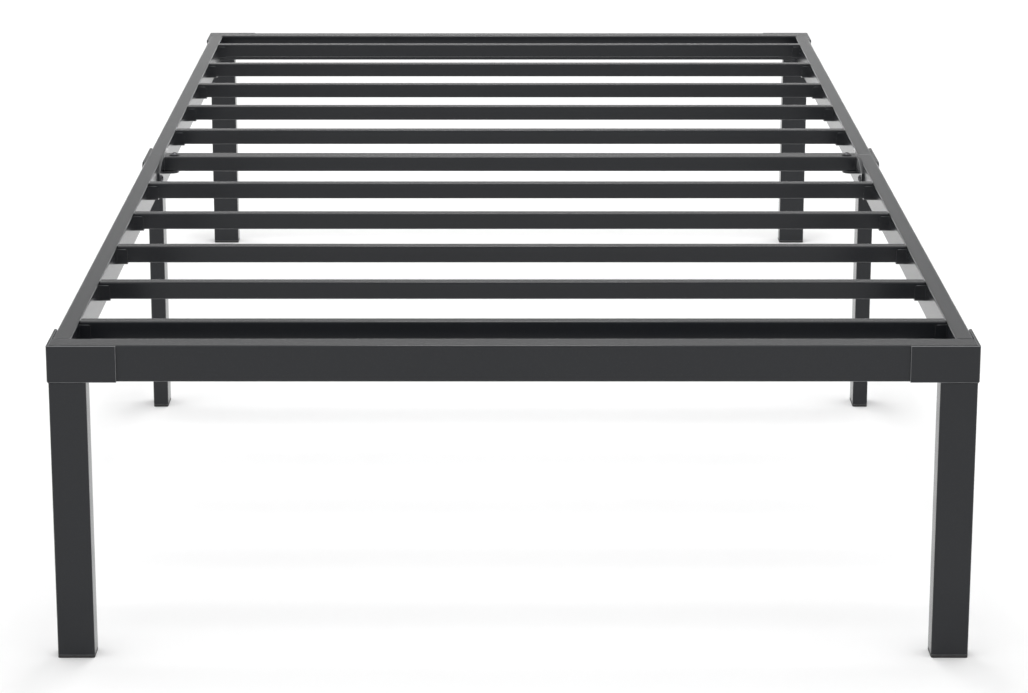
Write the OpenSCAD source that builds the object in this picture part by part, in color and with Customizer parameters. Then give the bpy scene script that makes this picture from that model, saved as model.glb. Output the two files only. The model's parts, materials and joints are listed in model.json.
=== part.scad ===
// Knock-down metal platform bed frame, Twin XL.
// Two end rails and four half side rails make the rim. Ten slats and a thicker centre
// cross rail lie across it. Four corner legs and two mid legs carry it.
// Millimetres. +Z is up and the floor is Z = 0. X = Y = 0 is the middle of the bed.
// The foot end is at -Y. Left and right are as seen from the foot end, so left is -X.

/* [Overall] */
// Width over the corner brackets
frame_w = 990; // [800:5:1600]
// Length over the corner brackets
frame_l = 2032; // [1600:1:2500]
// Height of the top of the rails above the floor
frame_h = 350; // [250:1:480]

/* [Rails] */
// Height of every rail tube
rail_h = 40; // [34:1:60]
// Depth of the front and rear rail tubes, along the bed
end_rail_d = 30; // [24:1:50]
// Width of the side rail tubes, across the bed
side_rail_w = 20; // [16:0.5:40]
// Wall of the rail tubes
rail_wall = 1.5; // [1:0.1:2.5]
// Outside corner radius of the rail tubes
rail_r = 2.5; // [1.6:0.1:5]
// Gap between the two halves of a side rail
rail_seam = 0.6; // [0.2:0.1:3]

/* [Slats] */
// Slats in each half of the bed
slats_per_half = 5; // [3:1:6]
// Width of a slat, along the bed
slat_w = 16; // [12:0.5:40]
// Height of a slat
slat_h = 20; // [14:0.5:30]
// Wall of a slat tube
slat_wall = 1.2; // [0.8:0.1:2]
// Outside corner radius of a slat tube
slat_r = 1.8; // [1.3:0.1:4]
// Clear space from an end rail to the middle of the nearest slat
slat_end_space = 80; // [40:1:150]
// Gap between a slat's end and the side rail
slat_gap = 1; // [0.3:0.1:4]

/* [Centre cross rail] */
// Width of the centre cross rail, along the bed
cross_rail_w = 30; // [24:1:60]
// Height of the centre cross rail
cross_rail_h = 20; // [14:0.5:30]
// Distance from its bolts to the faces of the inner joint plates
cross_bolt_inset = 12.3; // [9:0.1:30]

/* [Slat holders] */
// How far a holder reaches in from the side rail
holder_reach = 12.5; // [8:0.5:40]
// Thickness of the holder's steel
holder_t = 2; // [1:0.1:4]
// How far a holder's walls stop below the slat's top
holder_drop = 3; // [0:0.5:10]
// Radius on the upper free corners of a holder's walls
holder_corner_r = 3; // [1:0.5:7]
// Play between a slat and a holder's wall
holder_play = 0.3; // [0.1:0.1:2]

/* [Legs] */
// Width of a corner leg, across the bed
corner_leg_w = 40; // [30:1:80]
// Depth of a corner leg, along the bed
corner_leg_d = 30; // [24:1:60]
// Width of a mid leg, across the bed
mid_leg_w = 20; // [16:0.5:60]
// Depth of a mid leg, along the bed
mid_leg_d = 40; // [30:1:100]
// Wall of the leg tubes
leg_wall = 1.5; // [1:0.1:3]
// Outside corner radius of the leg tubes
leg_r = 2.5; // [1.6:0.1:5]
// How far the corner legs stand in from the outside of the brackets
leg_inset = 1.5; // [0.5:0.1:2.9]
// Thickness of the plate that closes a leg's top
leg_plate_t = 3; // [2:0.5:6]

/* [Corner brackets] */
// Thickness of the brackets and the joint plates
plate_t = 3; // [2:0.1:5]
// Length of each arm of a corner bracket
bracket_arm = 74; // [68:1:160]
// Distance from an arm's free end to its nearest bolt
bracket_bolt_end = 10; // [8:0.5:14]
// Distance between the two bolts of an arm
bracket_bolt_pitch = 20; // [14:0.5:21]

/* [Joint plates] */
// Length of the outer joint plate
outer_plate_l = 108; // [80:1:200]
// Radius on the outer joint plate's corners
outer_plate_r = 8; // [2:0.5:15]
// Length of the inner joint plate
inner_plate_l = 150; // [120:1:240]
// Length of the inner plate's full-height middle
inner_crown_l = 84; // [50:1:110]
// Fall of the inner plate's top towards each end
inner_shoulder = 10; // [4:0.5:12]
// How far the joint plates' tongues lap down over the mid leg
plate_lap = 12; // [6:0.5:40]
// Distance from the middle of the bed to the joint bolts
joint_bolt_y = 62; // [55:0.5:68]
// How far the tab under the cross rail reaches in from the inner plate
tab_reach = 18.5; // [17:0.5:60]
// Radius on the tab's free corners
tab_r = 10; // [4:0.5:14]

/* [Bolts and nuts] */
// Thread diameter
bolt_d = 6; // [5:0.1:7.5]
// Button head diameter
head_d = 10.5; // [9:0.5:14]
// Button head height
head_h = 3.3; // [2:0.1:5]
// Height of the straight rim under a button head's dome
head_rim = 0.7; // [0.3:0.1:1.2]
// Hex socket width across flats
socket_af = 4; // [3:0.5:5]
// Hex socket depth
socket_depth = 2; // [1:0.1:3]
// Flange diameter of the cross rail's bolts
flange_d = 13.6; // [12:0.1:20]
// Flange thickness
flange_t = 1.1; // [0.6:0.1:2]
// Nut width across flats
nut_af = 10; // [9:0.5:12]
// Nut height
nut_h = 5; // [3:0.5:6]
// Length of the joint bolts under the head
joint_bolt_l = 16; // [12:1:18]
// Outside diameter of the threaded inserts for the joint bolts
insert_d = 9; // [8:0.5:12]
// Length of the inserts
insert_l = 13; // [8:0.5:16]
// Diameter of the bulge that holds an insert behind the rail's wall
bulge_d = 12.5; // [12.5:0.5:16]
// Length of the bulge
bulge_l = 3; // [1:0.5:6]
// Distance from a bolt's tip to the bracket, or to the underside of the tab
tip_gap = 1.5; // [0.5:0.5:3]

/* [Foot caps] */
// Thickness of the cap's flange under the leg
cap_flange = 3; // [2:0.5:8]
// Height of the cap's plug inside the leg
cap_plug_h = 18; // [8:1:40]
// Wall of the cap's plug
cap_wall = 2; // [1:0.5:4]
// Gap between the plug and the tube, which the ribs fill
cap_gap = 0.4; // [0.2:0.1:1]
// Width of a rib
cap_rib_w = 1.6; // [1:0.1:3]

/* [Clearances] */
// Play of a bolt in its clearance hole, on the radius
hole_play = 0.3; // [0.1:0.1:1]
// Play of a bolt in a nut's thread, on the radius
thread_play = 0.05; // [0.02:0.01:0.2]
// Play round a weld nut in a rail's outer wall, on the radius
nut_play = 0.5; // [0.2:0.1:1]
// Play of an insert in a rail's inner wall, on the radius
insert_play = 0.05; // [0.02:0.01:0.2]

/* [Hidden] */
ends = ["front", "rear"];
sides = ["left", "right"];
slat_count = 2 * slats_per_half;
$fn = 48;

// The rim, worked out from the overall size. "x" and "y" values are for the right and rear.
rim_x = frame_w / 2 - plate_t;
rim_y = frame_l / 2 - plate_t;
inner_x = rim_x - side_rail_w;
inner_y = rim_y - end_rail_d;
rail_bottom = frame_h - rail_h;
rail_mid = frame_h - rail_h / 2;

// Slats: evenly spread from the middle out to the one beside the end rail
first_slat_y = inner_y - slat_end_space;
slat_pitch = first_slat_y / slats_per_half;
slat_l = 2 * (inner_x - slat_gap);

// Joint plates and cross rail
plate_x = inner_x - plate_t;
cross_rail_l = 2 * plate_x;
cross_rail_bottom = frame_h - cross_rail_h;
cross_bolt_x = plate_x - cross_bolt_inset;
tab_w = cross_rail_w + 2;

// Corner leg centres and mid leg centres
leg_x = frame_w / 2 - leg_inset - corner_leg_w / 2;
leg_y = frame_l / 2 - leg_inset - corner_leg_d / 2;
mid_leg_x = rim_x - mid_leg_w / 2;
leg_l = rail_bottom - cap_flange;

// Bolt places on each bracket arm
arm_end_x = frame_w / 2 - bracket_arm;
arm_end_y = frame_l / 2 - bracket_arm;
arm_bolts = [bracket_bolt_end, bracket_bolt_end + bracket_bolt_pitch];

// Round sizes
bolt_r = bolt_d / 2;
hole_r = bolt_r + hole_play;
nut_r = nut_af / 2 / cos(30);
nut_hole_r = nut_r + nut_play;
dome_h = head_h - head_rim;
cut = 1;

// Colours
coat = [0.15, 0.155, 0.165];
black_zinc = [0.08, 0.08, 0.085];
zinc = [0.6, 0.6, 0.62];
cap_black = [0.06, 0.06, 0.06];

function slat_y(k) =
    k <= slats_per_half
        ? -first_slat_y + (k - 1) * slat_pitch
        : first_slat_y - (slat_count - k) * slat_pitch;

// Moves what is drawn at the rear right to the named end and side
module at_corner(e, s) {
    mirror([s == "left" ? 1 : 0, 0, 0])
        mirror([0, e == "front" ? 1 : 0, 0])
            children();
}

module every_corner() {
    for (e = ends, s = sides) at_corner(e, s) children();
}

module rounded_rect(w, h, r) {
    square([w - 2 * r, h], center = true);
    square([w, h - 2 * r], center = true);
    for (x = [-1, 1], y = [-1, 1])
        translate([x * (w / 2 - r), y * (h / 2 - r)])
            circle(r);
}

// A hollow section standing on Z = 0
module tube(w, h, wall, r, l) {
    linear_extrude(l)
        difference() {
            rounded_rect(w, h, r);
            rounded_rect(w - 2 * wall, h - 2 * wall, r - wall);
        }
}

// Turns a section so that it runs along +X, with the section's height up
module along_x() {
    rotate([90, 0, 90]) children();
}

// Cylinders that lie along +X or +Y
module rod_x(r, l) {
    rotate([0, 90, 0]) cylinder(r = r, h = l);
}

module rod_y(r, l) {
    rotate([-90, 0, 0]) cylinder(r = r, h = l);
}

// ---- Rim ----

// The rear rail. The front rail is its mirror image.
module end_rail() {
    color(coat)
    difference() {
        translate([-rim_x, rim_y - end_rail_d / 2, rail_mid])
            along_x() tube(end_rail_d, rail_h, rail_wall, rail_r, 2 * rim_x);
        for (side = [-1, 1], a = arm_bolts) {
            translate([side * (arm_end_x + a), inner_y - cut, rail_mid])
                rod_y(hole_r, rail_wall + 2 * cut);
            translate([side * (arm_end_x + a), rim_y - rail_wall - cut, rail_mid])
                rod_y(nut_hole_r, rail_wall + 2 * cut);
        }
    }
}

// The rear right half of a side rail
module half_side_rail() {
    color(coat)
    difference() {
        translate([rim_x - side_rail_w / 2, inner_y, rail_mid])
            rotate([90, 0, 0])
                tube(side_rail_w, rail_h, rail_wall, rail_r, inner_y - rail_seam / 2);
        for (a = arm_bolts) {
            translate([inner_x - cut, arm_end_y + a, rail_mid])
                rod_x(hole_r, rail_wall + 2 * cut);
            translate([rim_x - rail_wall - cut, arm_end_y + a, rail_mid])
                rod_x(nut_hole_r, rail_wall + 2 * cut);
        }
        translate([inner_x - cut, joint_bolt_y, rail_mid])
            rod_x(insert_d / 2 + insert_play, rail_wall + 2 * cut);
    }
}

// ---- Slats and the centre cross rail ----

module slat(k) {
    color(coat)
    translate([-slat_l / 2, slat_y(k), frame_h - slat_h / 2])
        along_x() tube(slat_w, slat_h, slat_wall, slat_r, slat_l);
}

module centre_cross_rail() {
    color(coat)
    difference() {
        translate([-cross_rail_l / 2, 0, frame_h - cross_rail_h / 2])
            along_x() tube(cross_rail_w, cross_rail_h, rail_wall, rail_r, cross_rail_l);
        for (side = [-1, 1]) {
            translate([side * cross_bolt_x, 0, frame_h - rail_wall - cut])
                cylinder(r = hole_r, h = rail_wall + 2 * cut);
            translate([side * cross_bolt_x, 0, cross_rail_bottom - cut])
                cylinder(r = nut_hole_r, h = rail_wall + 2 * cut);
        }
    }
}

// A U-shaped saddle on the right rail: two walls and a floor, with rounded free corners
module slat_holder(y) {
    inside = slat_w + 2 * holder_play;
    wall_h = slat_h - holder_drop + holder_t;
    bottom = frame_h - slat_h - holder_t;
    translate([inner_x - holder_reach, y - inside / 2 - holder_t, bottom])
        cube([holder_reach, inside + 2 * holder_t, holder_t]);
    for (side = [-1, 1])
        translate([inner_x, y + side * (inside + holder_t) / 2 + holder_t / 2, bottom])
            rotate([90, 0, 0])
                linear_extrude(holder_t)
                    holder_wall(wall_h);
}

// The wall's outline, drawn to the left of X = 0
module holder_wall(wall_h) {
    r = min(holder_corner_r, holder_reach - 1, wall_h - 1);
    translate([-holder_reach, 0]) square([holder_reach, wall_h - r]);
    translate([r - holder_reach, 0]) square([holder_reach - r, wall_h]);
    translate([r - holder_reach, wall_h - r]) circle(r);
}

// The holders welded to one half rail
module slat_holders() {
    color(coat)
    for (k = [1 : slats_per_half]) slat_holder(k * slat_pitch);
}

// ---- Corners ----

module corner_leg() {
    color(coat)
    translate([leg_x, leg_y, cap_flange])
        tube(corner_leg_w, corner_leg_d, leg_wall, leg_r, leg_l);
}

// Two arms round the outside of the corner, bent to the plate's thickness
module corner_bracket() {
    color(coat)
    translate([0, 0, rail_bottom])
        linear_extrude(rail_h) {
            translate([arm_end_x, rim_y]) square([rim_x - arm_end_x, plate_t]);
            translate([rim_x, arm_end_y]) square([plate_t, rim_y - arm_end_y]);
            translate([rim_x, rim_y])
                intersection() {
                    circle(plate_t);
                    square(plate_t);
                }
        }
}

// ---- Mid joints, drawn on the right ----

module mid_leg() {
    color(coat)
    translate([mid_leg_x, 0, cap_flange])
        tube(mid_leg_w, mid_leg_d, leg_wall, leg_r, leg_l);
}

// Outside both half rails, with a tongue that is welded to the mid leg
module outer_joint_plate() {
    color(coat)
    translate([rim_x, 0, rail_bottom])
        along_x()
            linear_extrude(plate_t) {
                translate([0, rail_h / 2]) rounded_rect(outer_plate_l, rail_h, outer_plate_r);
                translate([-mid_leg_d / 2, -plate_lap]) square([mid_leg_d, plate_lap + cut]);
            }
}

// Inside both half rails: a full-height crown, falling shoulders, a tongue down the leg,
// and the tab that the cross rail rests on. Where the mid leg is narrower or wider than
// the rail, a web joins the plate to the tongue, under the rail or over the leg.
module inner_joint_plate() {
    half = inner_plate_l / 2;
    crown = inner_crown_l / 2;
    leg_face_x = rim_x - mid_leg_w;
    web_x = min(leg_face_x - plate_t, plate_x);
    web_z = leg_face_x < inner_x ? 0 : -plate_t;
    color(coat)
    difference() {
        union() {
            translate([plate_x, 0, rail_bottom])
                along_x()
                    linear_extrude(plate_t)
                        polygon([
                            [-half, 0],
                            [half, 0],
                            [half, rail_h - inner_shoulder],
                            [crown, rail_h],
                            [-crown, rail_h],
                            [-half, rail_h - inner_shoulder]
                        ]);
            translate([leg_face_x - plate_t, -mid_leg_d / 2, rail_bottom - plate_lap])
                cube([plate_t, mid_leg_d, plate_lap + web_z + plate_t]);
            translate([web_x, -mid_leg_d / 2, rail_bottom + web_z])
                cube([max(leg_face_x, inner_x) - web_x, mid_leg_d, plate_t]);
            translate([0, 0, cross_rail_bottom - plate_t])
                linear_extrude(plate_t) tab_outline();
        }
        for (side = [-1, 1])
            translate([plate_x - cut, side * joint_bolt_y, rail_mid])
                rod_x(hole_r, plate_t + 2 * cut);
        translate([cross_bolt_x, 0, cross_rail_bottom - plate_t - cut])
            cylinder(r = hole_r, h = plate_t + 2 * cut);
    }
}

module tab_outline() {
    translate([plate_x - tab_reach + tab_r, -tab_w / 2])
        square([tab_reach - tab_r + cut, tab_w]);
    translate([plate_x - tab_reach, -tab_w / 2 + tab_r])
        square([tab_reach, tab_w - 2 * tab_r]);
    for (side = [-1, 1])
        translate([plate_x - tab_reach + tab_r, side * (tab_w / 2 - tab_r)])
            circle(tab_r);
}

// ---- Leg top plates, inside the tubes and flush with their tops ----

module leg_top_plate(w, d) {
    linear_extrude(leg_plate_t)
        rounded_rect(w - 2 * leg_wall, d - 2 * leg_wall, leg_r - leg_wall);
}

module corner_leg_top_plates() {
    color(coat)
    every_corner()
        translate([leg_x, leg_y, rail_bottom - leg_plate_t])
            leg_top_plate(corner_leg_w, corner_leg_d);
}

module mid_leg_top_plates() {
    color(coat)
    for (side = [-1, 1])
        translate([side * mid_leg_x, 0, rail_bottom - leg_plate_t])
            leg_top_plate(mid_leg_w, mid_leg_d);
}

// ---- Foot caps ----

// A flange under the tube, a hollow plug inside it and ribs that grip the tube
module foot_cap(w, d) {
    plug_w = w - 2 * leg_wall - 2 * cap_gap;
    plug_d = d - 2 * leg_wall - 2 * cap_gap;
    plug_r = leg_r - leg_wall;
    color(cap_black) {
        linear_extrude(cap_flange) rounded_rect(w, d, leg_r);
        translate([0, 0, cap_flange]) {
            linear_extrude(cap_plug_h)
                difference() {
                    rounded_rect(plug_w, plug_d, plug_r);
                    square([plug_w - 2 * cap_wall, plug_d - 2 * cap_wall], center = true);
                }
            for (side = [-1, 1]) {
                translate([side * (plug_w + cap_gap) / 2, 0, cap_plug_h / 2])
                    cube([cap_gap, cap_rib_w, cap_plug_h], center = true);
                translate([0, side * (plug_d + cap_gap) / 2, cap_plug_h / 2])
                    cube([cap_rib_w, cap_gap, cap_plug_h], center = true);
            }
        }
    }
}

// ---- Bolts and nuts ----

// A domed head that stands on Z = 0 over a shank that hangs below it. The under part is
// a washer face: as wide as the head, or wider on a flanged bolt.
module button_bolt(l, face_d, face_t) {
    dome_r = (head_d * head_d / 4 + dome_h * dome_h) / (2 * dome_h);
    difference() {
        union() {
            intersection() {
                cylinder(d = head_d, h = head_h);
                translate([0, 0, head_h - dome_r]) sphere(dome_r);
            }
            cylinder(d = face_d, h = face_t);
        }
        translate([0, 0, head_h - socket_depth])
            cylinder(d = socket_af / cos(30), h = socket_depth + cut, $fn = 6);
    }
    translate([0, 0, -l]) cylinder(r = bolt_r, h = l);
}

module hex_nut(l) {
    difference() {
        cylinder(r = nut_r, h = l, $fn = 6);
        translate([0, 0, -cut]) cylinder(r = bolt_r + thread_play, h = l + 2 * cut);
    }
}

// Heads against the rails' inner faces, tips short of the brackets
module corner_bolts() {
    color(black_zinc)
    every_corner()
        for (a = arm_bolts) {
            translate([inner_x, arm_end_y + a, rail_mid])
                rotate([0, -90, 0]) button_bolt(side_rail_w - tip_gap, head_d, head_rim);
            translate([arm_end_x + a, inner_y, rail_mid])
                rotate([90, 0, 0]) button_bolt(end_rail_d - tip_gap, head_d, head_rim);
        }
}

// Welded to the brackets' inner faces, standing in the holes in the rails' outer walls
module corner_weld_nuts() {
    color(zinc)
    every_corner()
        for (a = arm_bolts) {
            translate([rim_x - nut_h, arm_end_y + a, rail_mid])
                rotate([0, 90, 0]) hex_nut(nut_h);
            translate([arm_end_x + a, rim_y, rail_mid])
                rotate([90, 0, 0]) hex_nut(nut_h);
        }
}

module joint_bolts() {
    color(black_zinc)
    every_corner()
        translate([plate_x, joint_bolt_y, rail_mid])
            rotate([0, -90, 0]) button_bolt(joint_bolt_l, head_d, head_rim);
}

// Threaded inserts through the half rails' inner walls, flush outside and bulged inside
module joint_inserts() {
    color(zinc)
    every_corner()
        translate([inner_x, joint_bolt_y, rail_mid])
            difference() {
                union() {
                    rod_x(insert_d / 2, insert_l);
                    translate([rail_wall, 0, 0]) rod_x(bulge_d / 2, bulge_l);
                }
                translate([-cut, 0, 0]) rod_x(bolt_r + thread_play, insert_l + 2 * cut);
            }
}

// Down through the cross rail and into the tab, with a flange under the head
module cross_rail_bolts() {
    color(black_zinc)
    for (side = [-1, 1])
        translate([side * cross_bolt_x, 0, frame_h])
            button_bolt(cross_rail_h + plate_t - tip_gap, flange_d, flange_t);
}

// Welded on the tabs' tops, standing in the holes in the cross rail's lower wall
module cross_rail_nuts() {
    color(zinc)
    for (side = [-1, 1])
        translate([side * cross_bolt_x, 0, cross_rail_bottom]) hex_nut(nut_h);
}

mirror([0, 1, 0]) end_rail();  // front_rail
end_rail();  // rear_rail
centre_cross_rail();
for (k = [1 : slat_count])
    slat(k);
for (e = ends, s = sides) {
    corner = str(e, "_", s);
    at_corner(e, s) half_side_rail();
    at_corner(e, s) slat_holders();
    at_corner(e, s) corner_leg();
    at_corner(e, s) corner_bracket();
    at_corner(e, s) translate([leg_x, leg_y, 0]) foot_cap(corner_leg_w, corner_leg_d);
}
for (s = sides) {
    at_corner("rear", s) mid_leg();
    at_corner("rear", s) translate([mid_leg_x, 0, 0]) foot_cap(mid_leg_w, mid_leg_d);
    at_corner("rear", s) outer_joint_plate();
    at_corner("rear", s) inner_joint_plate();
}
corner_leg_top_plates();
mid_leg_top_plates();
corner_bolts();
corner_weld_nuts();
joint_bolts();
joint_inserts();
cross_rail_bolts();
cross_rail_nuts();
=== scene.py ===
import json
import math
import bpy
import bmesh
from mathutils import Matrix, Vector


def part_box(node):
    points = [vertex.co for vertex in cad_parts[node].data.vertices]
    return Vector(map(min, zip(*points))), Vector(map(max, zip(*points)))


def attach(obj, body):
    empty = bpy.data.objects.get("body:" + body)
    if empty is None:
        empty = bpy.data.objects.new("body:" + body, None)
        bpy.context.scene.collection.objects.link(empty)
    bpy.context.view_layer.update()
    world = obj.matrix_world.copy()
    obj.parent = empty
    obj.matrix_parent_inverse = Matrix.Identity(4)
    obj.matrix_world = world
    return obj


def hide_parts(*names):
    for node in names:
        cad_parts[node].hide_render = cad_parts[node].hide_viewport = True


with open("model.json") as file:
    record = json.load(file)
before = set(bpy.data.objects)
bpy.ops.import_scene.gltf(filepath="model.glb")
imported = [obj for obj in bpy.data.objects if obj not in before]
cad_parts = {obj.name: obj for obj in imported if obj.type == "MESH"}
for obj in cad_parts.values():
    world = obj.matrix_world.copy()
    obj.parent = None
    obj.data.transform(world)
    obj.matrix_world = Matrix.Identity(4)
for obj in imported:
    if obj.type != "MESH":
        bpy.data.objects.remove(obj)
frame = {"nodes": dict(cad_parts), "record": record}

scene = bpy.context.scene
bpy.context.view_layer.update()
ends = ("front", "rear")
sides = ("left", "right")


# small helpers for node trees
def addNode(tree, kind, inputs=None, **settings):
    node = tree.nodes.new(kind)
    for key, value in settings.items():
        setattr(node, key, value)
    for key, value in (inputs or {}).items():
        if isinstance(value, bpy.types.NodeSocket):
            tree.links.new(value, node.inputs[key])
        else:
            node.inputs[key].default_value = value
    return node


nodeGrid = {"across": 220, "down": 260, "inRow": 8}


def spreadNodes(tree):  # lays the nodes out left to right so the tree can be read
    for i, node in enumerate(tree.nodes):
        row, column = divmod(i, nodeGrid["inRow"])
        node.location = (nodeGrid["across"] * column, -nodeGrid["down"] * row)


def startMaterial(name):
    material = bpy.data.materials.new(name)
    material.use_nodes = True
    tree = material.node_tree
    tree.nodes.clear()
    shader = addNode(tree, "ShaderNodeBsdfPrincipled")
    output = addNode(tree, "ShaderNodeOutputMaterial")
    tree.links.new(shader.outputs["BSDF"], output.inputs["Surface"])
    return material, tree, shader


def noiseAt(tree, place, scale, detail, roughness):
    return addNode(tree, "ShaderNodeTexNoise", {
        "Vector": place, "Scale": scale, "Detail": detail,
        "Roughness": roughness}).outputs["Fac"]


def remap(tree, value, low, high, fromLow=0.2, fromHigh=0.8):
    return addNode(tree, "ShaderNodeMapRange", {
        "Value": value, "From Min": fromLow, "From Max": fromHigh,
        "To Min": low, "To Max": high}, interpolation_type="SMOOTHSTEP").outputs["Result"]


def mixTones(tree, share, dark, light):
    tone = addNode(tree, "ShaderNodeMix", {"Factor": share}, data_type="RGBA")
    for socket, colour in ((6, dark), (7, light)):  # a mix node's colour sockets
        if isinstance(colour, bpy.types.NodeSocket):
            tree.links.new(colour, tone.inputs[socket])
        else:
            tone.inputs[socket].default_value = colour
    return tone.outputs[2]


def bumpOf(tree, height, strength, distance, under=None):
    bump = addNode(tree, "ShaderNodeBump", {
        "Strength": strength, "Distance": distance, "Height": height})
    if under:
        tree.links.new(under, bump.inputs["Normal"])
    return bump.outputs["Normal"]


# finishes: satin powder coat, moulded plastic and plated fasteners
powderCoat = {
    "dark": (0.0108, 0.0119, 0.0142, 1),
    "light": (0.0126, 0.0138, 0.0162, 1),
    "speck": (0.026, 0.027, 0.030, 1),
    "edgeHighlight": (0.60, 0.61, 0.62, 1),   # painted highlight along a rounded edge's crest
    "roughness": (0.195, 0.215),
    "ior": 1.38,
    "clouds": (5.0, 2.0, 0.5),       # slow drift of tone over a rail: scale, detail, roughness
    "grains": (1500.0, 1.0, 0.4),    # powder grains
    "peel": (620.0, 1.5, 0.45),      # orange peel, about 1.6 mm across
    "speckShare": 0.8,               # how far the brightest grain turns to the speck colour
    "speckRange": (0.62, 0.80),      # the grain levels between which a speck comes up
    "peelBump": (0.1, 0.00004),      # strength and distance
    "grainBump": (0.1, 0.00002),
}


def makePowderCoat():
    c = powderCoat
    material, tree, shader = startMaterial("charcoalPowderCoat")
    place = addNode(tree, "ShaderNodeTexCoord").outputs["Object"]
    clouds = noiseAt(tree, place, *c["clouds"])
    grains = noiseAt(tree, place, *c["grains"])
    peel = noiseAt(tree, place, *c["peel"])
    tone = mixTones(tree, remap(tree, clouds, 0.0, 1.0), c["dark"], c["light"])
    share = remap(tree, grains, 0.0, c["speckShare"], *c["speckRange"])
    specks = mixTones(tree, share, tone, c["speck"])
    # a painted highlight along the crests of rounded edges and across the rail seam, mixed into
    # the coat's colour
    edge = addNode(tree, "ShaderNodeAttribute", attribute_name="paintedEdgeHighlight").outputs["Fac"]
    tree.links.new(mixTones(tree, edge, specks, c["edgeHighlight"]), shader.inputs["Base Color"])
    tree.links.new(remap(tree, clouds, *c["roughness"]), shader.inputs["Roughness"])
    shader.inputs["IOR"].default_value = c["ior"]
    peelBump = bumpOf(tree, peel, *c["peelBump"])
    tree.links.new(bumpOf(tree, grains, *c["grainBump"], peelBump), shader.inputs["Normal"])
    spreadNodes(tree)
    return material


footPlastic = {
    "dark": (0.010, 0.010, 0.0105, 1),
    "light": (0.019, 0.019, 0.020, 1),
    "roughness": (0.48, 0.62),
    "grainScale": 1100.0,
    "grainBump": (0.35, 0.00002),
    "scuffs": (60.0, 4.0, 0.6),
}


def makeFootPlastic():
    c = footPlastic
    material, tree, shader = startMaterial("mouldedFootPlastic")
    place = addNode(tree, "ShaderNodeTexCoord").outputs["Object"]
    grain = addNode(tree, "ShaderNodeTexVoronoi", {
        "Vector": place, "Scale": c["grainScale"]}).outputs["Distance"]
    scuffs = noiseAt(tree, place, *c["scuffs"])
    tone = mixTones(tree, remap(tree, scuffs, 0.0, 1.0), c["dark"], c["light"])
    tree.links.new(tone, shader.inputs["Base Color"])
    tree.links.new(remap(tree, scuffs, *c["roughness"]), shader.inputs["Roughness"])
    tree.links.new(bumpOf(tree, grain, *c["grainBump"]), shader.inputs["Normal"])
    spreadNodes(tree)
    return material


platedSteel = {
    "boltBlack": {"dark": (0.045, 0.045, 0.049, 1), "light": (0.095, 0.095, 0.100, 1),
                  "metallic": 0.85, "roughness": (0.17, 0.30)},
    "nutZinc": {"dark": (0.42, 0.43, 0.45, 1), "light": (0.62, 0.62, 0.63, 1),
                "metallic": 1.0, "roughness": (0.24, 0.40)},
    "mottle": (420.0, 3.0, 0.6),
    "toolMarks": (2600.0, 1.0, 0.4),
    "markBump": (0.2, 0.000012),
}


def makePlating(name):
    c = platedSteel[name]
    material, tree, shader = startMaterial(name)
    place = addNode(tree, "ShaderNodeTexCoord").outputs["Object"]
    mottle = noiseAt(tree, place, *platedSteel["mottle"])
    marks = noiseAt(tree, place, *platedSteel["toolMarks"])
    tone = mixTones(tree, remap(tree, mottle, 0.0, 1.0), c["dark"], c["light"])
    tree.links.new(tone, shader.inputs["Base Color"])
    tree.links.new(remap(tree, mottle, *c["roughness"]), shader.inputs["Roughness"])
    shader.inputs["Metallic"].default_value = c["metallic"]
    tree.links.new(bumpOf(tree, marks, *platedSteel["markBump"]), shader.inputs["Normal"])
    spreadNodes(tree)
    return material


finishes = {
    "frame_steel": makePowderCoat(),
    "foot_plastic": makeFootPlastic(),
    "bolt_black": makePlating("boltBlack"),
    "nut_zinc": makePlating("nutZinc"),
}
slotOf = {part["node"]: part["material_slot"] for part in frame["record"]["subparts"]}
for name, node in frame["nodes"].items():
    node.data.materials.clear()
    node.data.materials.append(finishes[slotOf[name]])
print("finishes made")


# helpers for meshes
shading = {
    "sharp": 35.0,      # degrees from which an edge stays crisp
    "flatWeight": 100,  # how strongly broad faces stay flat while the bends round off
}


def bakeModifiers(piece):
    baked = bpy.data.meshes.new_from_object(
        piece.evaluated_get(bpy.context.evaluated_depsgraph_get()))
    piece.modifiers.clear()
    piece.data = baked


def smoothPiece(piece, sharpAngle=shading["sharp"]):
    mesh = piece.data
    mesh.polygons.foreach_set("use_smooth", [True] * len(mesh.polygons))
    mesh.set_sharp_from_angle(angle=math.radians(sharpAngle))
    weighted = piece.modifiers.new("broad faces", "WEIGHTED_NORMAL")
    weighted.weight = shading["flatWeight"]
    weighted.keep_sharp = True
    bakeModifiers(piece)


def handOver(piece, slotName, *nodes):  # rides on the frame and stands for the named nodes
    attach(piece, "root")
    if nodes:
        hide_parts(*nodes)


softEdges = {
    "weld": 0.00002,       # distance under which loose corners are one corner
    "flat": 0.5,           # degrees between triangles of one face
    "sharp": 40.0,         # degrees from which an edge is rounded
    "segments": 2,
    "sliver": 0.00001,     # edges shorter than this are closed up
    "crest": 35.0,         # two faces that meet at more degrees meet on an edge's crest
    "crestHighlight": 0.45,     # how strongly the painted highlight shows there, 1 being the strongest
    "seamHighlight": 1.0,       # and the painted highlight on the cut ends where the half rails meet
    "seam": 0.0009,        # those ends are this near the middle of the bed
    "tube": 0.0010,        # radius on a tube's edges
    "plate": 0.0005,       # on a pressed plate's
    "cap": 0.0007,         # on a foot cap's
}


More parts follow.
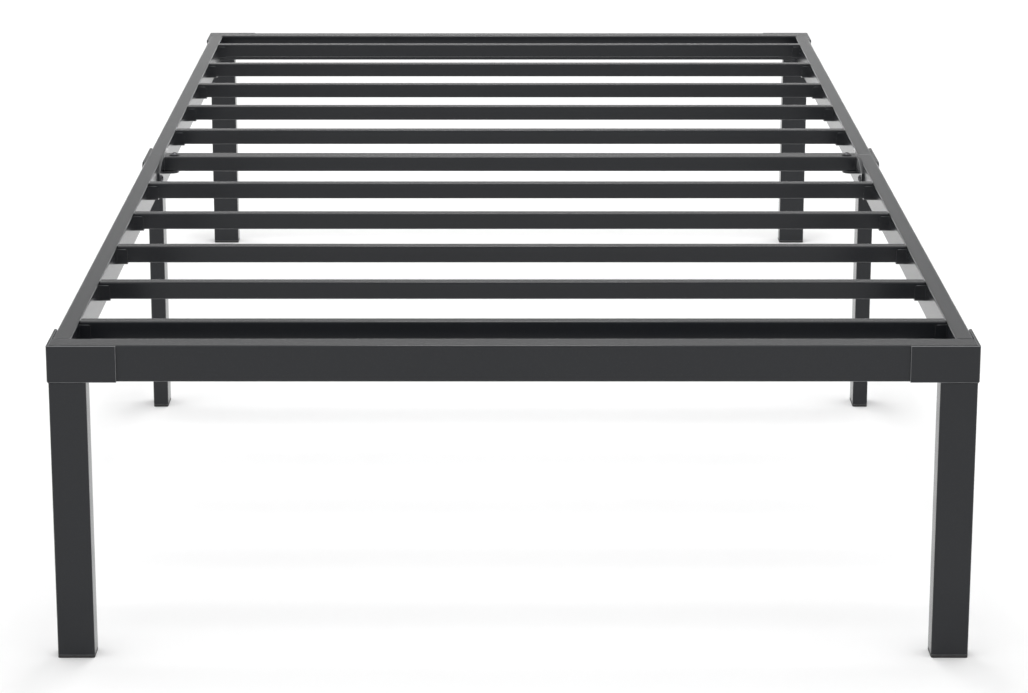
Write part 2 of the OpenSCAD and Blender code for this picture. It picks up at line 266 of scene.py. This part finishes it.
def paintCrestHighlights(mesh, cutEnd=False):  # paintedEdgeHighlight is above 0 only along a rounded edge's middle, where a highlight is painted into the coat's colour
    bm = bmesh.new()
    bm.from_mesh(mesh)
    bmesh.ops.dissolve_degenerate(bm, edges=bm.edges, dist=softEdges["sliver"])
    bm.normal_update()
    crest = bm.verts.layers.float.new("paintedEdgeHighlight")
    for edge in bm.edges:
        if edge.is_convex and edge.calc_face_angle(0) > math.radians(softEdges["crest"]):
            for corner in edge.verts:
                atSeam = cutEnd and abs(corner.co.y) < softEdges["seam"]
                corner[crest] = softEdges["seamHighlight" if atSeam else "crestHighlight"]
    bm.to_mesh(mesh)
    bm.free()


def softCopy(node, radius):
    mesh = frame["nodes"][node].data.copy()
    mesh.name = node + "_soft"
    bm = bmesh.new()
    bm.from_mesh(mesh)
    bmesh.ops.remove_doubles(bm, verts=bm.verts, dist=softEdges["weld"])
    bmesh.ops.dissolve_limit(bm, angle_limit=math.radians(softEdges["flat"]),
                             verts=bm.verts, edges=bm.edges)
    bm.to_mesh(mesh)
    bm.free()
    mesh.materials.clear()
    mesh.materials.append(finishes[slotOf[node]])
    piece = bpy.data.objects.new(node + "_soft", mesh)
    scene.collection.objects.link(piece)
    bevel = piece.modifiers.new("edges", "BEVEL")
    bevel.width = radius
    bevel.segments = softEdges["segments"]
    bevel.limit_method = "ANGLE"
    bevel.angle_limit = math.radians(softEdges["sharp"])
    bevel.miter_outer = "MITER_ARC"
    bakeModifiers(piece)
    paintCrestHighlights(piece.data, node.startswith("side_rail"))
    smoothPiece(piece)
    return piece


softened = {}
for e in ends:
    softened[e + "_rail"] = "tube"
    for s in sides:
        corner = e + "_" + s
        softened["side_rail_" + corner] = "tube"
        softened["corner_leg_" + corner] = "tube"
        softened["corner_bracket_" + corner] = "plate"
        softened["foot_cap_" + corner] = "cap"
for s in sides:
    softened["mid_leg_" + s] = "tube"
    softened["foot_cap_mid_" + s] = "cap"
    softened["outer_joint_plate_" + s] = "plate"
    softened["inner_joint_plate_" + s] = "plate"
softened["centre_cross_rail"] = "tube"
for node, kind in softened.items():
    handOver(softCopy(node, softEdges[kind]), slotOf[node], node)
print("tubes, plates and caps softened:", len(softened))


# geometry nodes: trees with named inputs, turned into plain meshes
socketKinds = {float: "NodeSocketFloat", int: "NodeSocketInt",
               "object": "NodeSocketObject", "material": "NodeSocketMaterial"}


def startTree(name, inputs):
    tree = bpy.data.node_groups.new(name, "GeometryNodeTree")
    tree.interface.new_socket("Geometry", in_out="INPUT", socket_type="NodeSocketGeometry")
    for label, kind in inputs.items():
        tree.interface.new_socket(label, in_out="INPUT", socket_type=socketKinds[kind])
    tree.interface.new_socket("Geometry", in_out="OUTPUT", socket_type="NodeSocketGeometry")
    return tree, tree.nodes.new("NodeGroupInput").outputs


def endTree(tree, geometry, finish):
    real = addNode(tree, "GeometryNodeRealizeInstances", {"Geometry": geometry})
    painted = addNode(tree, "GeometryNodeSetMaterial", {
        "Geometry": real.outputs[0], "Material": finish})
    out = tree.nodes.new("NodeGroupOutput")
    tree.links.new(painted.outputs[0], out.inputs["Geometry"])
    spreadNodes(tree)


def growMesh(name, tree, values, start=None):
    grown = bpy.data.objects.new(name, start or bpy.data.meshes.new(name + "_start"))
    modifier = grown.modifiers.new("grow", "NODES")
    modifier.node_group = tree
    for item in tree.interface.items_tree:
        if item.in_out == "INPUT" and item.name in values:
            modifier[item.identifier] = values[item.name]
    scene.collection.objects.link(grown)
    bakeModifiers(grown)
    grown.data.name = name
    return grown


# slats: one tube, set out in rows from the middle to both ends
slatSizes = {
    "perHalf": 5,
    "width": 0.016,
    "wall": 0.0012,
    "corner": 0.0018,      # outside corner radius
    "cornerSteps": 8,
    "weld": 0.00001,
}


def makeSlatTree():
    tree, given = startTree("slatRows", {
        "Slats in a half": int, "First slat": float, "Pitch": float, "Length": float,
        "Width": float, "Height": float, "Wall": float, "Corner radius": float,
        "Corner steps": int, "Top": float, "Finish": "material"})

    def calc(operation, a, b):
        return addNode(tree, "ShaderNodeMath", {0: a, 1: b}, operation=operation).outputs[0]

    def outline(inset):
        double = calc("MULTIPLY", inset, 2.0)
        box = addNode(tree, "GeometryNodeCurvePrimitiveQuadrilateral", {
            "Width": calc("SUBTRACT", given["Width"], double),
            "Height": calc("SUBTRACT", given["Height"], double)}, mode="RECTANGLE")
        return addNode(tree, "GeometryNodeFilletCurve", {
            "Curve": box.outputs["Curve"], "Count": given["Corner steps"],
            "Radius": calc("SUBTRACT", given["Corner radius"], inset)}, mode="POLY").outputs[0]

    both = addNode(tree, "GeometryNodeJoinGeometry")
    tree.links.new(outline(0.0), both.inputs[0])
    tree.links.new(outline(given["Wall"]), both.inputs[0])
    ring = addNode(tree, "GeometryNodeFillCurve", {"Curve": both.outputs[0]})
    along = addNode(tree, "GeometryNodeExtrudeMesh", {
        "Mesh": ring.outputs[0], "Offset": addNode(tree, "ShaderNodeCombineXYZ", {
            "Z": given["Length"]}).outputs[0], "Individual": False}, mode="FACES")
    back = addNode(tree, "GeometryNodeFlipFaces", {"Mesh": ring.outputs[0]})
    closed = addNode(tree, "GeometryNodeJoinGeometry")
    tree.links.new(along.outputs["Mesh"], closed.inputs[0])
    tree.links.new(back.outputs[0], closed.inputs[0])
    whole = addNode(tree, "GeometryNodeMergeByDistance", {
        "Geometry": closed.outputs[0], "Distance": slatSizes["weld"]})
    place = addNode(tree, "ShaderNodeCombineXYZ", {
        "X": calc("MULTIPLY", given["Length"], -0.5), "Y": 0.0,
        "Z": calc("SUBTRACT", given["Top"], calc("MULTIPLY", given["Height"], 0.5))})
    bar = addNode(tree, "GeometryNodeTransform", {
        "Geometry": whole.outputs[0], "Translation": place.outputs[0],
        "Rotation": (math.pi / 2, 0.0, math.pi / 2)})
    rows = addNode(tree, "GeometryNodeJoinGeometry")
    for sign in (-1.0, 1.0):
        line = addNode(tree, "GeometryNodeMeshLine", {
            "Count": given["Slats in a half"],
            "Start Location": addNode(tree, "ShaderNodeCombineXYZ", {
                "Y": calc("MULTIPLY", given["First slat"], sign)}).outputs[0],
            "Offset": addNode(tree, "ShaderNodeCombineXYZ", {
                "Y": calc("MULTIPLY", given["Pitch"], sign)}).outputs[0]}, mode="OFFSET")
        tree.links.new(line.outputs[0], rows.inputs[0])
    laid = addNode(tree, "GeometryNodeInstanceOnPoints", {
        "Points": rows.outputs[0], "Instance": bar.outputs[0]})
    endTree(tree, laid.outputs[0], given["Finish"])
    return tree


def slatValues():
    low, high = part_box("slat_6")  # the slat just behind the middle
    farLow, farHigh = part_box("slat_10")
    first = (low[1] + high[1]) / 2
    last = (farLow[1] + farHigh[1]) / 2
    return {
        "Slats in a half": slatSizes["perHalf"], "First slat": first,
        "Pitch": (last - first) / (slatSizes["perHalf"] - 1), "Length": high[0] - low[0],
        "Width": slatSizes["width"], "Height": high[2] - low[2], "Wall": slatSizes["wall"],
        "Corner radius": slatSizes["corner"], "Corner steps": slatSizes["cornerSteps"],
        "Top": high[2], "Finish": finishes["frame_steel"]}


slatFacts = slatValues()
slats = growMesh("slats", makeSlatTree(), slatFacts)
smoothPiece(slats)
slatNames = ["slat_%d" % k for k in range(1, 2 * slatSizes["perHalf"] + 1)]
handOver(slats, "frame_steel", *slatNames)
print("slats laid")


# repeated pieces: one master shape set at marked points
def makeScatterTree():
    tree, given = startTree("setAtPoints", {
        "Piece": "object", "Turn": float, "Seed": int, "Finish": "material"})
    facing = addNode(tree, "GeometryNodeInputNamedAttribute", {"Name": "facing"},
                     data_type="FLOAT_VECTOR").outputs["Attribute"]
    lean = addNode(tree, "FunctionNodeAlignRotationToVector", {"Vector": facing}, axis="Z")
    turn = addNode(tree, "FunctionNodeRandomValue", {
        "Min": 0.0, "Max": given["Turn"], "Seed": given["Seed"]}, data_type="FLOAT")
    spin = addNode(tree, "FunctionNodeAxisAngleToRotation", {
        "Axis": (0.0, 0.0, 1.0), "Angle": turn.outputs[1]})
    aim = addNode(tree, "FunctionNodeRotateRotation", {
        "Rotation": lean.outputs[0], "Rotate By": spin.outputs[0]}, rotation_space="LOCAL")
    piece = addNode(tree, "GeometryNodeObjectInfo", {"Object": given["Piece"]},
                    transform_space="ORIGINAL")
    placed = addNode(tree, "GeometryNodeInstanceOnPoints", {
        "Points": given["Geometry"], "Instance": piece.outputs["Geometry"],
        "Rotation": aim.outputs[0]})
    endTree(tree, placed.outputs[0], given["Finish"])
    return tree


scatterTree = makeScatterTree()


def setAtPoints(name, master, points, slotName, turn, seed):
    places, facings = zip(*points)
    marks = bpy.data.meshes.new(name + "_marks")
    marks.from_pydata(list(places), [], [])
    arrows = marks.attributes.new("facing", "FLOAT_VECTOR", "POINT")
    for arrow, facing in zip(arrows.data, facings):
        arrow.vector = facing
    grown = growMesh(name, scatterTree, {
        "Piece": master, "Turn": turn, "Seed": seed, "Finish": finishes[slotName]}, marks)
    smoothPiece(grown)
    bpy.data.objects.remove(master)
    return grown


# bolts: turned from a list of radii and heights, with a hexagon socket
boltSizes = {
    "around": 48,
    "head": 0.0105,                 # diameter
    "headHeight": 0.0033,
    "rim": 0.0007,
    "domeSteps": 8,
    "domeEdge": 0.0003,             # the dome stops this far inside the rim
    "socket": 0.004,                # across its flats
    "socketDepth": 0.002,
    "socketLip": (0.00008, 0.00012),  # how far out and how deep its edge is broken
    "pit": 0.0003,                  # the drill's mark in its floor
    "shank": 0.003,                 # radius
    "pitch": 0.001,
    "threadDepth": 0.0004,
    "ringsInTurn": 6,
    "tip": (0.0006, 0.0008),        # how far the point draws in, and over what height
    "flange": 0.0136,
    "flangeHeight": 0.0011,
    # a head's edge from the top down: a radius and a step out from it, a height and a step up
    "plainEdge": (("head", 0.0, "rim", -0.0001), ("head", 0.0, "seat", 0.0002),
                  ("head", -0.0002, "seat", 0.0)),
    "flangedEdge": (("head", -0.0001, "flange", 0.0003), ("head", 0.0001, "flange", 0.00005),
                    ("flange", -0.0003, "flange", -0.00005), ("flange", 0.0, "flange", -0.0004),
                    ("flange", 0.0, "seat", 0.0003), ("flange", -0.0002, "seat", 0.0)),
    "turn": math.pi / 3,            # heads stand at any angle up to this
    "fromArmEnd": (0.010, 0.030),   # a bracket's two bolts, from its arm's free end
    "kinds": {
        "corner_bolts": {"length": 0.0185, "thread": 0.0, "flanged": False, "seed": 3},
        "joint_bolts": {"length": 0.016, "thread": 0.0, "flanged": False, "seed": 11},
        "cross_rail_bolts": {"length": 0.0215, "thread": 0.006, "flanged": True, "seed": 5},
    },
}


def hexRadius(angle, acrossFlats):
    return acrossFlats / 2 / math.cos((angle + math.pi / 6) % (math.pi / 3) - math.pi / 6)


def boltMaster(name, length, thread, flanged):
    c = boltSizes
    headR = c["head"] / 2
    rise = c["headHeight"] - c["rim"]
    domeR = (headR ** 2 + rise ** 2) / (2 * rise)
    socketR = c["socket"] / 2 / math.cos(math.pi / 6)
    lipOut, lipDown = c["socketLip"]
    tipIn, tipHeight = c["tip"]
    radii = {"head": headR, "flange": c["flange"] / 2}
    heights = {"rim": c["rim"], "flange": c["flangeHeight"], "seat": 0.0}

    def domeHeight(r):
        return c["headHeight"] - domeR + math.sqrt(domeR ** 2 - r ** 2)

    floor = c["headHeight"] - c["socketDepth"]
    rings = [("hex", floor), ("hex", domeHeight(socketR) - lipDown),  # a radius or "hex", a height
             (socketR + lipOut, domeHeight(socketR))]
    for step in range(1, c["domeSteps"] + 1):
        r = socketR + lipOut + (headR - c["domeEdge"] - socketR) * step / c["domeSteps"]
        rings.append((r, domeHeight(r)))
    for radius, out, height, up in c["flangedEdge" if flanged else "plainEdge"]:
        rings.append((radii[radius] + out, heights[height] + up))
    threadTop = -(length - thread)
    rings += [(c["shank"], 0.0), (c["shank"], threadTop)]
    threadRings = []
    count = int(round(thread / c["pitch"] * c["ringsInTurn"]))
    for i in range(1, count + 1):
        threadRings.append(threadTop - (thread - tipHeight) * i / count)

    bm = bmesh.new()
    around = c["around"]
    angles = [2 * math.pi * i / around for i in range(around)]

    def ringAt(radiusAt, heightAt):
        return [bm.verts.new((radiusAt(a) * math.cos(a), radiusAt(a) * math.sin(a), heightAt(a)))
                for a in angles]

    rows = []
    for radius, z in rings:
        if radius == "hex":
            rows.append(ringAt(lambda a: hexRadius(a, c["socket"]), lambda a: z))
        else:
            rows.append(ringAt(lambda a: radius, lambda a: z))
    for z in threadRings:
        def cut(a):
            wave = abs(((z / c["pitch"] - a / (2 * math.pi)) % 1.0) * 2 - 1)
            return c["shank"] - c["threadDepth"] * wave
        rows.append(ringAt(cut, lambda a: z))
    rows.append(ringAt(lambda a: c["shank"] - tipIn, lambda a: -length))
    for upper, lower in zip(rows, rows[1:]):
        for i in range(around):
            j = (i + 1) % around
            bm.faces.new((upper[i], lower[i], lower[j], upper[j]))
    pit = bm.verts.new((0, 0, floor - c["pit"]))
    tip = bm.verts.new((0, 0, -length))
    for i in range(around):
        j = (i + 1) % around
        bm.faces.new((pit, rows[0][i], rows[0][j]))
        bm.faces.new((tip, rows[-1][j], rows[-1][i]))
    bmesh.ops.recalc_face_normals(bm, faces=bm.faces)
    mesh = bpy.data.meshes.new(name)
    bm.to_mesh(mesh)
    bm.free()
    return bpy.data.objects.new(name, mesh)


def boltPlaces():
    c = boltSizes
    railLow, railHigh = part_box("side_rail_rear_right")
    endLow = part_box("rear_rail")[0]
    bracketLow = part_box("corner_bracket_rear_right")[0]
    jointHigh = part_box("joint_bolts")[1]
    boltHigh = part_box("cross_rail_bolts")[1]
    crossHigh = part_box("centre_cross_rail")[1]
    mid = (railLow[2] + railHigh[2]) / 2
    jointY = jointHigh[1] - c["head"] / 2
    crossX = boltHigh[0] - c["flange"] / 2
    places = {"corner_bolts": [], "joint_bolts": [], "cross_rail_bolts": []}
    for sx in (-1, 1):
        for sy in (-1, 1):
            for a in c["fromArmEnd"]:
                onSide = (sx * railLow[0], sy * (bracketLow[1] + a), mid)
                onEnd = (sx * (bracketLow[0] + a), sy * endLow[1], mid)
                places["corner_bolts"].append((onSide, (-sx, 0, 0)))
                places["corner_bolts"].append((onEnd, (0, -sy, 0)))
            onPlate = (sx * crossHigh[0], sy * jointY, mid)
            places["joint_bolts"].append((onPlate, (-sx, 0, 0)))
        places["cross_rail_bolts"].append(((sx * crossX, 0, crossHigh[2]), (0, 0, 1)))
    return places


for name, places in boltPlaces().items():
    kind = boltSizes["kinds"][name]
    master = boltMaster(name + "_master", kind["length"], kind["thread"], kind["flanged"])
    bolts = setAtPoints(name + "_turned", master, places, "bolt_black",
                        boltSizes["turn"], kind["seed"])
    handOver(bolts, "bolt_black", name)
    print(name, "set:", len(places))


# slat holders: a strip bent into a U, with its free corners rounded
holderSizes = {
    "steel": 0.002,
    "play": 0.0003,
    "drop": 0.003,      # walls stop this far below the slat's top
    "bend": 0.0012,     # inside radius of the bends
    "corner": 0.003,    # free upper corners
    "bendSteps": 6,
    "cornerSteps": 8,
    "edge": 0.0006,     # rounding of the sheet's edges
    "edgeSegments": 2,
    "edgeSharp": 50.0,
}


def holderMaster():
    c = holderSizes
    slatLow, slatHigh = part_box("slat_6")
    holderLow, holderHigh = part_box("slat_holders_rear_right")
    reach = holderHigh[0] - holderLow[0]
    half = (slatHigh[1] - slatLow[1]) / 2 + c["play"]
    top = slatHigh[2] - c["drop"]
    low = slatLow[2]
    side = []  # the inside of the U, from a free edge down to the middle, with its height
    for i in range(c["cornerSteps"] + 1):
        a = math.pi / 2 * i / c["cornerSteps"]
        side.append((-half, top - c["corner"] * (1 - math.cos(a))))
    for i in range(c["bendSteps"] + 1):
        a = math.pi / 2 * i / c["bendSteps"]
        side.append((-half + c["bend"] * (1 - math.cos(a)),
                     low + c["bend"] * (1 - math.sin(a))))
    path = side + [(-y, z) for y, z in reversed(side)]
    bm = bmesh.new()
    rows = []
    for y, z in path:
        down = top - z
        back = 0.0
        if down < c["corner"]:
            back = c["corner"] - math.sqrt(c["corner"] ** 2 - (c["corner"] - down) ** 2)
        rows.append((bm.verts.new((0, y, z)), bm.verts.new((back - reach, y, z))))
    for (a, b), (d, e) in zip(rows, rows[1:]):
        bm.faces.new((a, b, e, d))
    mesh = bpy.data.meshes.new("holderMaster")
    bm.to_mesh(mesh)
    bm.free()
    sheet = bpy.data.objects.new("holderSheet", mesh)
    scene.collection.objects.link(sheet)
    thick = sheet.modifiers.new("thickness", "SOLIDIFY")
    thick.thickness = c["steel"]
    thick.offset = 1.0
    thick.use_even_offset = True
    edges = sheet.modifiers.new("edges", "BEVEL")
    edges.width = c["edge"]
    edges.segments = c["edgeSegments"]
    edges.angle_limit = math.radians(c["edgeSharp"])
    finished = bpy.data.meshes.new_from_object(
        sheet.evaluated_get(bpy.context.evaluated_depsgraph_get()))
    bpy.data.objects.remove(sheet)
    paintCrestHighlights(finished)
    return bpy.data.objects.new("holderMaster", finished)


def makeHolderTree():
    tree, given = startTree("holdersAlongRails", {
        "Holder": "object", "Holders in a half": int, "First": float, "Pitch": float,
        "Rail face": float, "Finish": "material"})

    def times(a, b):
        return addNode(tree, "ShaderNodeMath", {0: a, 1: b}, operation="MULTIPLY").outputs[0]

    piece = addNode(tree, "GeometryNodeObjectInfo", {"Object": given["Holder"]},
                    transform_space="ORIGINAL")
    gathered = addNode(tree, "GeometryNodeJoinGeometry")
    for sx in (-1.0, 1.0):
        for sy in (-1.0, 1.0):
            line = addNode(tree, "GeometryNodeMeshLine", {
                "Count": given["Holders in a half"],
                "Start Location": addNode(tree, "ShaderNodeCombineXYZ", {
                    "X": times(given["Rail face"], sx),
                    "Y": times(given["First"], sy)}).outputs[0],
                "Offset": addNode(tree, "ShaderNodeCombineXYZ", {
                    "Y": times(given["Pitch"], sy)}).outputs[0]}, mode="OFFSET")
            row = addNode(tree, "GeometryNodeInstanceOnPoints", {
                "Points": line.outputs[0], "Instance": piece.outputs["Geometry"],
                "Rotation": (0.0, 0.0, 0.0 if sx > 0 else math.pi)})
            tree.links.new(row.outputs[0], gathered.inputs[0])
    endTree(tree, gathered.outputs[0], given["Finish"])
    return tree


holder = holderMaster()
holders = growMesh("slatHolders", makeHolderTree(), {
    "Holder": holder, "Holders in a half": slatSizes["perHalf"],
    "First": slatFacts["First slat"], "Pitch": slatFacts["Pitch"],
    "Rail face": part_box("side_rail_rear_right")[0][0], "Finish": finishes["frame_steel"]})
bpy.data.objects.remove(holder)
smoothPiece(holders)
holderNames = ["slat_holders_%s_%s" % (e, s) for e in ends for s in sides]
handOver(holders, "frame_steel", *holderNames)
print("holders set")


# weld beads: a rippled round bead along each welded edge
beadSizes = {
    "radius": 0.0011,
    "ripple": 0.00015,
    "rippleLength": 0.0016,
    "step": 0.0005,
    "sides": 10,
    "seed": 7,
    "legCorner": 0.0025,   # outside corner radius of the leg
    "bendSteps": 6,
    "sunk": 0.0003,        # how far the bead's middle lies inside the steel
    "fromEdge": 0.004,     # the bead round a leg stops this short of its far sides
    "sharp": 60.0,
}


def makeBeadTree():
    tree, given = startTree("weldBeads", {
        "Radius": float, "Ripple": float, "Ripple length": float, "Step": float,
        "Sides": int, "Seed": int, "Finish": "material"})
    curve = addNode(tree, "GeometryNodeMeshToCurve", {"Mesh": given["Geometry"]})
    fine = addNode(tree, "GeometryNodeResampleCurve", {
        "Curve": curve.outputs[0], "Length": given["Step"]}, mode="LENGTH")
    travel = addNode(tree, "GeometryNodeSplineParameter").outputs["Length"]
    phase = addNode(tree, "ShaderNodeMath", {0: travel, 1: given["Ripple length"]},
                    operation="DIVIDE")
    turns = addNode(tree, "ShaderNodeMath", {0: phase.outputs[0], 1: 2 * math.pi},
                    operation="MULTIPLY")
    wave = addNode(tree, "ShaderNodeMath", {0: turns.outputs[0]}, operation="SINE")
    shake = addNode(tree, "FunctionNodeRandomValue", {"Seed": given["Seed"]},
                    data_type="FLOAT")
    both = addNode(tree, "ShaderNodeMath", {0: wave.outputs[0], 1: shake.outputs[1]},
                   operation="ADD")
    size = addNode(tree, "ShaderNodeMath", {
        0: both.outputs[0], 1: given["Ripple"], 2: given["Radius"]}, operation="MULTIPLY_ADD")
    profile = addNode(tree, "GeometryNodeCurvePrimitiveCircle", {
        "Resolution": given["Sides"], "Radius": 1.0}, mode="RADIUS")
    bead = addNode(tree, "GeometryNodeCurveToMesh", {
        "Curve": fine.outputs[0], "Profile Curve": profile.outputs[0],
        "Scale": size.outputs[0], "Fill Caps": True})
    endTree(tree, bead.outputs[0], given["Finish"])
    return tree


def beadPaths():
    c = beadSizes
    legLow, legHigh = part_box("corner_leg_rear_right")
    bendX = legHigh[0] - c["legCorner"]
    bendY = legHigh[1] - c["legCorner"]
    bend = c["legCorner"] - c["sunk"]
    z = legHigh[2] - c["sunk"]
    arc = []
    for i in range(c["bendSteps"] + 1):
        a = math.pi / 2 * i / c["bendSteps"]
        arc.append((bendX + bend * math.sin(a), bendY + bend * math.cos(a)))
    underBracket = ([(legLow[0] + c["fromEdge"], bendY + bend)] + arc
                    + [(bendX + bend, legLow[1] + c["fromEdge"])])
    midLow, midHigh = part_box("mid_leg_right")
    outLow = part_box("outer_joint_plate_right")[0]
    half = (midHigh[1] - midLow[1]) / 2 - c["sunk"]
    paths = []
    for sx in (-1, 1):
        for sy in (-1, 1):
            paths.append([(sx * x, sy * y, z) for x, y in underBracket])
        for face in (midHigh[0] + c["sunk"], midLow[0] - c["sunk"]):
            paths.append([(sx * face, -half, outLow[2]), (sx * face, half, outLow[2])])
    return paths


beads = bpy.data.meshes.new("beadPaths")
corners, edges = [], []
for path in beadPaths():
    edges += [(len(corners) + i, len(corners) + i + 1) for i in range(len(path) - 1)]
    corners += path
beads.from_pydata(corners, edges, [])
welds = growMesh("weldBeads", makeBeadTree(), {
    "Radius": beadSizes["radius"], "Ripple": beadSizes["ripple"],
    "Ripple length": beadSizes["rippleLength"], "Step": beadSizes["step"],
    "Sides": beadSizes["sides"], "Seed": beadSizes["seed"],
    "Finish": finishes["frame_steel"]}, beads)
smoothPiece(welds, beadSizes["sharp"])
handOver(welds, "frame_steel")
print("beads laid")


# floor, light and camera
studio = {
    "floor": 60.0,
    "floorLevel": -0.0002,
    "floorTone": (0.92, 0.92, 0.92, 1),
    "floorRoughness": 0.8,
    "horizon": 0.42,             # how bright the sky is there, and straight up
    "zenith": 1.8,
    "rise": 2.0,                 # the higher, the later it brightens
    "glow": (3.6, 0.0),          # a bright band along the horizon and none above it
    "glowHeight": (0.02, 0.12),  # where the band fades out, as the sine of the height
    "topLight": {"size": 0.6, "height": 3.0, "power": 20.0, "y": 0.5},
}


def makeFloor():
    half = studio["floor"] / 2
    z = studio["floorLevel"]
    mesh = bpy.data.meshes.new("floor")
    mesh.from_pydata([(-half, -half, z), (half, -half, z), (half, half, z), (-half, half, z)],
                     [], [(0, 1, 2, 3)])
    material, _, shader = startMaterial("paleFloor")
    shader.inputs["Base Color"].default_value = studio["floorTone"]
    shader.inputs["Roughness"].default_value = studio["floorRoughness"]
    shader.inputs["Specular IOR Level"].default_value = 0.0
    mesh.materials.append(material)
    floor = bpy.data.objects.new("floor", mesh)
    scene.collection.objects.link(floor)


def makeLight():
    world = bpy.data.worlds.new("studio")
    scene.world = world
    world.use_nodes = True
    tree = world.node_tree
    tree.nodes.clear()
    direction = addNode(tree, "ShaderNodeTexCoord").outputs["Generated"]
    height = addNode(tree, "ShaderNodeSeparateXYZ", {0: direction}).outputs["Z"]
    above = addNode(tree, "ShaderNodeMath", {0: height, 1: 0.0}, operation="MAXIMUM")
    rise = addNode(tree, "ShaderNodeMath", {0: above.outputs[0], 1: studio["rise"]},
                   operation="POWER")
    sky = addNode(tree, "ShaderNodeMapRange", {
        "Value": rise.outputs[0], "To Min": studio["horizon"],
        "To Max": studio["zenith"]}).outputs["Result"]
    glow = remap(tree, height, *studio["glow"], *studio["glowHeight"])
    level = addNode(tree, "ShaderNodeMath", {0: sky, 1: glow}, operation="ADD").outputs[0]
    shine = addNode(tree, "ShaderNodeBackground", {"Color": (1, 1, 1, 1), "Strength": level})
    addNode(tree, "ShaderNodeOutputWorld", {"Surface": shine.outputs[0]})
    spreadNodes(tree)
    c = studio["topLight"]
    lamp = bpy.data.lights.new("softbox", "AREA")
    lamp.shape = "SQUARE"
    lamp.size = c["size"]
    lamp.energy = c["power"]
    box = bpy.data.objects.new("softbox", lamp)
    box.location = (0, c["y"], c["height"])
    scene.collection.objects.link(box)


cameraFacts = {
    "place": (-0.0127, -4.348, 1.233),
    "down": 14.845,      # degrees below level
    "lens": 114.2,
    "sensor": 36.0,
    "shift": 0.0124,
    "clipEnd": 200.0,
}


def makeCamera():
    c = cameraFacts
    lens = bpy.data.cameras.new("camera")
    lens.lens = c["lens"]
    lens.sensor_width = c["sensor"]
    lens.sensor_fit = "HORIZONTAL"
    lens.shift_x = c["shift"]
    lens.clip_end = c["clipEnd"]
    camera = bpy.data.objects.new("camera", lens)
    camera.location = c["place"]
    camera.rotation_euler = (math.radians(90 - c["down"]), 0, 0)
    scene.collection.objects.link(camera)
    scene.camera = camera


makeFloor()
makeLight()
makeCamera()
scene.view_settings.view_transform = "Standard"
print("studio set")
